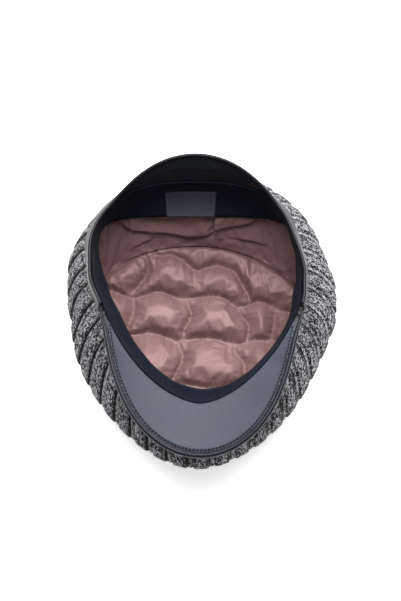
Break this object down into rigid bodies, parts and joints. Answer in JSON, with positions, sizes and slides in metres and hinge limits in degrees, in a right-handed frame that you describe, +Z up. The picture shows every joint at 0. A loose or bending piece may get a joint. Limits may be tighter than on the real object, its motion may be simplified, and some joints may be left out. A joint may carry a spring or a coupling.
{
  "type": "peaked winter cap",
  "caption": "Ribbed knit winter cap with a leather peak and a turned-up leather ear flap, lying upside down on its crown, lined with quilted satin.",
  "frame": {"origin": "on the table, below the middle of the outline, with the cap lying upside down on its crown", "axes": "+Z up out of the opening, -Y towards the peak, +X to the right with the peak nearest the viewer"},
  "size_m": [0.2396, 0.28, 0.1182],
  "materials": {
    "rib_knit": "grey marl rib knit with dark ribs, soft and matt",
    "band_cloth": "dark navy brushed cloth, matt",
    "label_weave": "dark grey woven tape, bare",
    "satin": "mauve brown satin, quilted, with a soft sheen",
    "peak_leather": "grey blue smooth leather, satin gloss",
    "edge_leather": "near black smooth leather, half gloss"
  },
  "bodies": {
    "root": {"crown_side": "rib_knit", "crown_top": "rib_knit", "sweatband": "band_cloth", "label": "label_weave", "lining_side": "satin", "lining_top": "satin", "peak": "peak_leather", "peak_edge": "edge_leather", "ear_flap": "edge_leather"}
  },
  "joints": []
}
